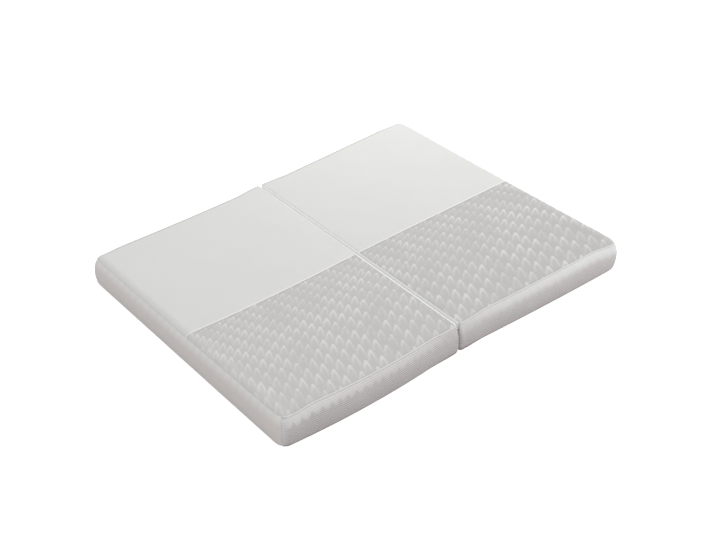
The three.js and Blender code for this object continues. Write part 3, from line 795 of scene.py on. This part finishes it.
def over_edge(first_turn, cross_line, depth, roll=0.0):
    """The half of the strip on one panel: over the round top edge, where it may stand up in a small roll
    beside its seam, and down the fold face to the dip."""
    turns = np.radians(np.arange(first_turn + SEAM_TURN, 45, 1.5))
    length_line = {"share": np.zeros(len(turns)), "side": -np.ones(len(turns)), "turn": turns}
    from_seam = (turns - turns[0]) * FOLD_RADIUS
    rolled = roll * np.exp(-((from_seam - HINGE_ROLL_MIDDLE) / HINGE_ROLL_WIDTH) ** 2)
    upper = top_surface(length_line, cross_line, depth - rolled[:, None])
    dip_share = (THICKNESS - HINGE_DEPTH - FOLD_FOOT_RADIUS) / (THICKNESS - FOLD_RADIUS - FOLD_FOOT_RADIUS)
    elevation = np.radians(np.arange(45, 0, -3.0))
    shares = np.linspace(1, dip_share, 4)
    level = {
        "share": np.concatenate([np.ones(len(elevation)), shares])[:, None],
        "turn": np.concatenate([elevation, np.zeros(len(shares))])[:, None],
    }
    lower = side_surface(short_side(cross_line, -1), level, depth)
    return np.concatenate([upper, lower])


def hinge_grid(cross_line, depth, roll=0.0):
    """Rows over the left edge, a half round dip between the panels and rows up the right edge."""
    left = over_edge(HINGE_LEFT_TURN, cross_line, depth, roll) * (-1, 1, 1) - (FOLD_GAP / 2, 0, 0)
    right = over_edge(HINGE_RIGHT_TURN, cross_line, depth) + (FOLD_GAP / 2, 0, 0)
    turns = np.radians(np.linspace(0, 180, 11)[1:-1])[:, None]
    lowest = left[-1][None]
    reach = -lowest[..., 0]
    dip_y = np.broadcast_to(lowest[..., 1], (len(turns), reach.shape[1]))
    dip = np.stack([-reach * np.cos(turns), dip_y, lowest[..., 2] - reach * np.sin(turns)], -1)
    return np.concatenate([left, dip, right[::-1]])


hinge_line = places("piping", steps(0, 1, WIDTH, TOP_PITCH), "piping")
hinge_even = hinge_grid(hinge_line, 0)
hinge_outer, hinge_inner = lie(hinge_grid(hinge_line, 0, HINGE_ROLL)), lie(hinge_grid(hinge_line, CLOTH))
from_left_seam = from_edges(hinge_even)[0]
# 1 in front and 0 behind, for the strength of the hinge strip's painted highlight and painted light
at_front = 1 - ease(hinge_outer[..., 1], COLOUR_SEAM_Y - FRONT_BLEND, COLOUR_SEAM_Y + FRONT_BLEND)
hinge_maps = {"seam": np.stack([from_left_seam, at_front], -1)}
hinge = make_cloth("hinge_cloth", hinge_outer, hinge_inner, hinge_maps)
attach(hinge, "root")
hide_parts("hinge_strip")

# %% [markdown]
# ## Formulas as shader nodes
# A shader's Math nodes do the same sums as numpy. A small wrapper round a socket lets a formula be
# written once, in plain arithmetic, and used for the mesh and for the finish alike.

# %% A wrapper for sums in shader nodes
class Value:
    """A number that varies over a surface, as the output of a shader node."""

    def __init__(self, tree, socket):
        self.tree, self.socket = tree, socket

    def do(self, operation, *others):
        """One Math node of this value and others."""
        node = self.tree.nodes.new("ShaderNodeMath")
        node.operation = operation
        for slot, value in zip(node.inputs, (self, *others)):
            if isinstance(value, Value):
                self.tree.links.new(value.socket, slot)
            else:
                slot.default_value = float(value)
        return Value(self.tree, node.outputs[0])

    def __add__(self, other):
        return self.do("ADD", other)

    def __sub__(self, other):
        return self.do("SUBTRACT", other)

    def __rsub__(self, other):
        return self.do("MULTIPLY", -1).do("ADD", other)

    def __mul__(self, other):
        return self.do("MULTIPLY", other)

    def __mod__(self, other):
        return self.do("FLOORED_MODULO", other)

    def __pow__(self, other):
        return self.do("MULTIPLY", self) if other == 2 else self.do("POWER", other)

    def clip(self, low, high):
        return self.do("MAXIMUM", low).do("MINIMUM", high)

    def sin(self):
        return self.do("SINE")

    def abs(self):
        return self.do("ABSOLUTE")

    __radd__, __rmul__ = __add__, __mul__


def new_group(name, inputs, outputs):
    """A shader node group with named inputs (name, kind, value) and outputs (name, kind)."""
    tree = bpy.data.node_groups.new(name, "ShaderNodeTree")
    for label, kind, value in inputs:
        socket = tree.interface.new_socket(label, in_out="INPUT", socket_type=kind)
        if value is not None:
            socket.default_value = value
    for label, kind in outputs:
        tree.interface.new_socket(label, in_out="OUTPUT", socket_type=kind)
    return tree, tree.nodes.new("NodeGroupInput"), tree.nodes.new("NodeGroupOutput")


def split(tree, vector):
    """The first two numbers of a vector socket."""
    node = tree.nodes.new("ShaderNodeSeparateXYZ")
    tree.links.new(vector, node.inputs[0])
    return Value(tree, node.outputs[0]), Value(tree, node.outputs[1])


# %% [markdown]
# ## Shared finishes: knit stitches, mottling and arches
# Every cloth here is knitted, so one node group draws the stitches: columns of small slanted loops
# whose lean alternates from side to side. A second group gives the slight blotches of dyed yarn,
# and a third draws the pointed arches from the lattice map.

# %% Node groups
def knit_group():
    """Stitches: the height is a round sine across each column, broken by a wave along it that leans with the
    distance from the column's middle."""
    tree, inside, outside = new_group(
        "knit_stitches",
        [("Vector", "NodeSocketVector", None), ("Width", "NodeSocketFloat", 0.003),
         ("Height", "NodeSocketFloat", 0.002)],
        [("Height", "NodeSocketFloat")])
    u, v = split(tree, inside.outputs["Vector"])
    across = u.do("DIVIDE", Value(tree, inside.outputs["Width"]))
    up = v.do("DIVIDE", Value(tree, inside.outputs["Height"]))
    from_middle = (across % 1 - 0.5).abs()
    column = (across * np.pi).sin().abs()
    loop = ((up + from_middle * 1.4) * (2 * np.pi)).sin() * 0.5 + 0.5
    height = column * (loop * 0.55 + 0.45)
    tree.links.new(height.socket, outside.inputs["Height"])
    return tree


def mottle_group():
    """Blotches of dyed yarn: a coarse and a fine noise, mixed into one number about 0.5."""
    tree, inside, outside = new_group(
        "yarn_mottling",
        [("Vector", "NodeSocketVector", None), ("Scale", "NodeSocketFloat", 9.0)],
        [("Shade", "NodeSocketFloat")])
    noises = []
    for factor, detail in ((1.0, 3.0), (14.0, 2.0)):
        node = tree.nodes.new("ShaderNodeTexNoise")
        tree.links.new(inside.outputs["Vector"], node.inputs["Vector"])
        scale = Value(tree, inside.outputs["Scale"]) * factor
        tree.links.new(scale.socket, node.inputs["Scale"])
        node.inputs["Detail"].default_value = detail
        noises.append(Value(tree, node.outputs[0]))
    shade = noises[0] * 0.6 + noises[1] * 0.4
    tree.links.new(shade.socket, outside.inputs["Shade"])
    return tree


def arch_group():
    """The arches: the formula of the relief, read from the lattice map."""
    tree, inside, outside = new_group(
        "pointed_arches", [("Vector", "NodeSocketVector", None)], [("Arch", "NodeSocketFloat")])
    tree.links.new(arch(*split(tree, inside.outputs["Vector"])).socket, outside.inputs["Arch"])
    return tree


KNIT, MOTTLE, ARCHES = knit_group(), mottle_group(), arch_group()
print("groups:", [tree.name for tree in (KNIT, MOTTLE, ARCHES)])


def use_group(tree, group, vector, **values):
    """Places a group in a material, fed by a vector and by its own values."""
    node = tree.nodes.new("ShaderNodeGroup")
    node.node_tree = group
    tree.links.new(vector, node.inputs["Vector"])
    for label, value in values.items():
        node.inputs[label].default_value = value
    return node


# %% [markdown]
# ## Cloth materials
# A cloth's colour runs between a dark and a light yarn by its own pattern, then varies by the mottling and
# the depth of the stitches. Several patterns also paint light and shade into the colour: shadow along seams,
# in rib valleys and at the foot, and highlights on rolls, seams and corners. Roughness is high, and a little
# sheen on the shader's own socket gives the soft bloom of brushed knit.

# %% Patterns of the cloths: each gives how far the light yarn is picked, some with painted light and shade, and the relief
def uv_map(tree, name):
    """The socket of a named UV map."""
    node = tree.nodes.new("ShaderNodeUVMap")
    node.uv_map = name
    return node.outputs[0]


def seam_distance(tree, which, reach):
    """How near a place lies to a seam: 1 on it and 0 from a reach in mm onwards."""
    return (split(tree, uv_map(tree, "seam"))[which] * (-1 / reach) + 1).clip(0, 1)


def arches_on(tree, vector):
    """Arches that are knitted in; some come out stronger than others. The ground is darker along the colour
    seam, a painted shadow of the plain cloth's raised edge, and darker to the right, painted shade that evens
    out the lamps' brightening there. It is paler over the roll of the end, painted light that lifts the shade
    of the roll."""
    picked = Value(tree, use_group(tree, ARCHES, uv_map(tree, "arches")).outputs["Arch"])
    uneven = Value(tree, use_group(tree, MOTTLE, vector, Scale=9.0).outputs["Shade"])
    # painted shadow along the colour seam
    on_seam = (seam_distance(tree, 0, 9) * 2).clip(0, 1)
    # painted light over the roll of the end
    roll_painted_light = seam_distance(tree, 1, 60)
    drawn = picked * ((uneven - 0.5) * 5.0 + 0.95).clip(0.35, 1.6)
    # painted shade to the right, against the brighter light of the lamps there
    from_middle = split(tree, vector)[0]
    return drawn * 0.7 + 0.3 - on_seam * 0.4 + roll_painted_light * 0.35 - from_middle * 0.13, picked * 0.8


def seam_highlight_on(tree, vector):
    """A painted highlight makes the plain knit palest along the colour seam, where its edge is turned under
    and stands up.
    """
    # painted highlight on the raised edge at the colour seam
    on_seam = (seam_distance(tree, 0, 10) * 2).clip(0, 1)
    return on_seam * 0.5 + 0.25, 0


def hinge_light_on(tree, vector):
    """The hinge strip is whitest on the small roll beside its left seam, a painted highlight that is
    strongest in front. It is paler again on the right panel than in the dip between the two: painted light on
    the half that faces away from the lamps, while the dip keeps the dark yarn as painted shade."""
    at_front = split(tree, uv_map(tree, "seam"))[1]
    # painted highlight on the roll
    roll_highlight = (seam_distance(tree, 0, 14) * 3).clip(0, 1)
    # painted light on the right panel's half, less of it in front
    right_painted_light = ((1 - seam_distance(tree, 0, 45)) * 3 - 2).clip(0, 1)
    return roll_highlight * (at_front * 0.6 + 0.4) + right_painted_light * (0.42 - at_front * 0.3), 0


def end_roll_light_on(tree, vector):
    """Painted light makes the end cloth paler towards its upper seam, where it turns up over the roll, and
    painted highlight and shade follow the gathers there: paler on their crests, darker between them."""
    gather = split(tree, uv_map(tree, "seam"))[1]
    # painted light towards the roll over the end
    end_roll_light = seam_distance(tree, 0, 48)
    # painted highlight and shade on the gathers
    return end_roll_light + end_roll_light * gather * 0.6, 0


def ribs_on(tree, vector):
    """A border is darker between two ribs, painted shade in the valleys, and darker towards the foot, painted
    shade where it rolls under. It is paler in the scallops under the piping, a knit pattern and partly a
    painted highlight, and a little paler upwards, painted light."""
    scallop, number = split(tree, uv_map(tree, "ribs"))
    # painted shade in the valleys between the ribs
    back = (number * np.pi).sin().abs()
    # painted shade towards the foot, where the border rolls under
    foot = (1 - number * 0.42).clip(0, 1)
    drawn = back * (0.36 - scallop * 0.28)
    # the scallops are a knit pattern and partly a painted highlight; the rib number adds a little painted
    # light upwards
    return drawn + scallop * 0.4 + number * (0.15 / RIB_COUNT) + 0.26 - foot * 0.75, drawn * 1.5


# %% Materials
ROUGHNESS, SHEEN, SHINE = 0.85, 0.1, 0.2
BUMP_DISTANCE = 0.0007      # metres


def make_finish(name, dark, light, stitch, strength, mottling, pattern=None):
    """A knitted finish. dark and light are the yarn's colours, stitch the width and height of one stitch in
    metres, strength the bump's, mottling how far the shade varies, and pattern what picks the light yarn."""
    material = bpy.data.materials.new(name)
    material.use_nodes = True
    tree = material.node_tree
    shader = tree.nodes["Principled BSDF"]
    shader.inputs["Roughness"].default_value = ROUGHNESS
    shader.inputs["Sheen Weight"].default_value = SHEEN
    shader.inputs["Specular IOR Level"].default_value = SHINE
    in_space = tree.nodes.new("ShaderNodeTexCoord").outputs["Object"]
    stitches = use_group(tree, KNIT, uv_map(tree, "cloth"), Width=stitch[0], Height=stitch[1])
    knit = Value(tree, stitches.outputs["Height"])
    mottle = Value(tree, use_group(tree, MOTTLE, in_space).outputs["Shade"])
    picked, relief = pattern(tree, in_space) if pattern else (knit * 0.5, 0)
    height = knit * 0.6 + relief
    tone = (picked + (mottle - 0.5) * mottling + (knit - 0.5) * 0.12).clip(0, 1)
    mix = tree.nodes.new("ShaderNodeMix")
    mix.data_type = "RGBA"
    mix.inputs["A"].default_value = (*dark, 1)
    mix.inputs["B"].default_value = (*light, 1)
    tree.links.new(tone.socket, mix.inputs["Factor"])
    tree.links.new(mix.outputs["Result"], shader.inputs["Base Color"])
    bump = tree.nodes.new("ShaderNodeBump")
    bump.inputs["Strength"].default_value = strength
    bump.inputs["Distance"].default_value = BUMP_DISTANCE
    tree.links.new(height.socket, bump.inputs["Height"])
    tree.links.new(bump.outputs["Normal"], shader.inputs["Normal"])
    return material


PLAIN_FINISH = make_finish(
    "plain_knit_finish", (0.63, 0.627, 0.61), (0.84, 0.837, 0.82), (0.0030, 0.0022), 0.5, 0.2, seam_highlight_on)
PATTERN_FINISH = make_finish(
    "patterned_knit_finish", (0.45, 0.445, 0.437), (0.67, 0.665, 0.655), (0.0030, 0.0022), 0.5, 0.2,
    arches_on)
# the dark yarn is a deep warm brown, deep enough for the painted shade at the foot and between the ribs
RIB_FINISH = make_finish(
    "ribbed_knit_finish", (0.215, 0.15, 0.138), (0.81, 0.81, 0.81), (0.0032, 0.0024), 0.5, 0.2, ribs_on)
# the end cloth's dark yarn is warm, partly copying the warm shade on faces turned from the lamps
END_FINISH = make_finish(
    "end_knit_finish", (0.74, 0.694, 0.673), (0.76, 0.752, 0.735), (0.0026, 0.0020), 0.4, 0.3, end_roll_light_on)
PIPING_FINISH = make_finish(
    "piping_finish", (0.68, 0.68, 0.675), (0.76, 0.76, 0.755), (0.0018, 0.0016), 0.4, 0.3)
# the dark yarn shows as painted shade in the dip, the light yarn as the painted highlight on the roll
HINGE_FINISH = make_finish(
    "hinge_finish", (0.76, 0.76, 0.755), (0.96, 0.96, 0.955), (0.0018, 0.0016), 0.4, 0.2, hinge_light_on)
LINING_FINISH = make_finish(
    "lining_finish", (0.66, 0.65, 0.64), (0.74, 0.73, 0.72), (0.0022, 0.0018), 0.5, 0.4)

for pieces, finish in (
    (plain_tops, PLAIN_FINISH), (patterned_tops, PATTERN_FINISH), (borders, RIB_FINISH),
    (end_cloths, END_FINISH), (pipings, PIPING_FINISH), ([hinge], HINGE_FINISH),
    (list(panels.values()), LINING_FINISH),
):
    for piece in pieces:
        piece.data.materials.append(finish)
    print(finish.name, "on", len(pieces), "pieces")

# %% [markdown]
# ## Floor, light and camera
# The mattress lies on a plain white floor in an evenly lit studio. The sky gives most of the light. A
# soft sun stands nearly overhead, and two square lamps on the right, one behind and one in front, make
# the right panel and the ribbed front brighter. The camera looks down from the front left corner.

# %% Floor
FLOOR_SHADE, FLOOR_GLOW = 0.66, 0.85       # the glow is only for the camera, so that the floor shows white

floor_mesh = bpy.data.meshes.new("floor")
floor_mesh.from_pydata([(-30, -30, 0), (30, -30, 0), (30, 30, 0), (-30, 30, 0)], [], [(0, 1, 2, 3)])
floor = bpy.data.objects.new("floor", floor_mesh)
floor.location.z = -0.001
bpy.context.scene.collection.objects.link(floor)
floor_material = bpy.data.materials.new("studio_floor")
floor_material.use_nodes = True
floor_shader = floor_material.node_tree.nodes["Principled BSDF"]
floor_shader.inputs["Base Color"].default_value = (FLOOR_SHADE,) * 3 + (1,)
floor_shader.inputs["Roughness"].default_value = 1.0
floor_shader.inputs["Specular IOR Level"].default_value = 0.0
floor_shader.inputs["Emission Color"].default_value = (1, 1, 1, 1)
floor_tree = floor_material.node_tree
seen = Value(floor_tree, floor_tree.nodes.new("ShaderNodeLightPath").outputs["Is Camera Ray"])
floor_tree.links.new((seen * FLOOR_GLOW).socket, floor_shader.inputs["Emission Strength"])
floor_mesh.materials.append(floor_material)

# %% Light
SKY_STRENGTH = 0.70

world = bpy.data.worlds.new("studio")
world.use_nodes = True
world.node_tree.nodes["Background"].inputs["Color"].default_value = (1, 1, 1, 1)
world.node_tree.nodes["Background"].inputs["Strength"].default_value = SKY_STRENGTH
bpy.context.scene.world = world


def hang(name, lamp, location, way):
    """Links a lamp at a location, turned so that it shines from the way given as (x, y, z)."""
    lamp_object = bpy.data.objects.new(name, lamp)
    lamp_object.location = location
    lamp_object.rotation_euler = Vector(way).to_track_quat("Z", "Y").to_euler()
    bpy.context.scene.collection.objects.link(lamp_object)


def sun(name, way, strength, softness):
    """A far, soft lamp that shines from a direction."""
    lamp = bpy.data.lights.new(name, "SUN")
    lamp.energy, lamp.angle = strength, np.radians(softness)
    hang(name, lamp, (0, 0, 0), way)


def soft_box(name, location, target, size, power):
    """A square lamp near the mattress, turned to a target, so that what lies nearer is brighter."""
    lamp = bpy.data.lights.new(name, "AREA")
    lamp.energy, lamp.size = power, size
    hang(name, lamp, location, Vector(location) - Vector(target))


sun("overhead_lamp", (0.25, -0.3, 1.0), 0.75, 60)
soft_box("back_right_lamp", (1.7, 1.5, 2.0), (0.5, 0.3, 0.1), 1.2, 18)
soft_box("front_right_lamp", (2.4, -2.6, 0.7), (0.9, -0.8, 0.1), 1.0, 12)
bpy.context.scene.view_settings.view_transform = "Standard"

# %% Camera
FOCAL_PIXELS, FRAME_PIXELS, SENSOR_MM = 1339.6, 716, 36
camera_data = bpy.data.cameras.new("camera")
camera_data.sensor_width = SENSOR_MM
camera_data.lens = FOCAL_PIXELS * SENSOR_MM / FRAME_PIXELS
camera = bpy.data.objects.new("camera", camera_data)
camera.location = (-3.3146, -3.9720, 3.8024)
camera.rotation_euler = np.radians((90 - 36.051, 0, 49.972 - 90))
bpy.context.scene.collection.objects.link(camera)
bpy.context.scene.camera = camera
print("lens", round(camera_data.lens, 2), "mm")
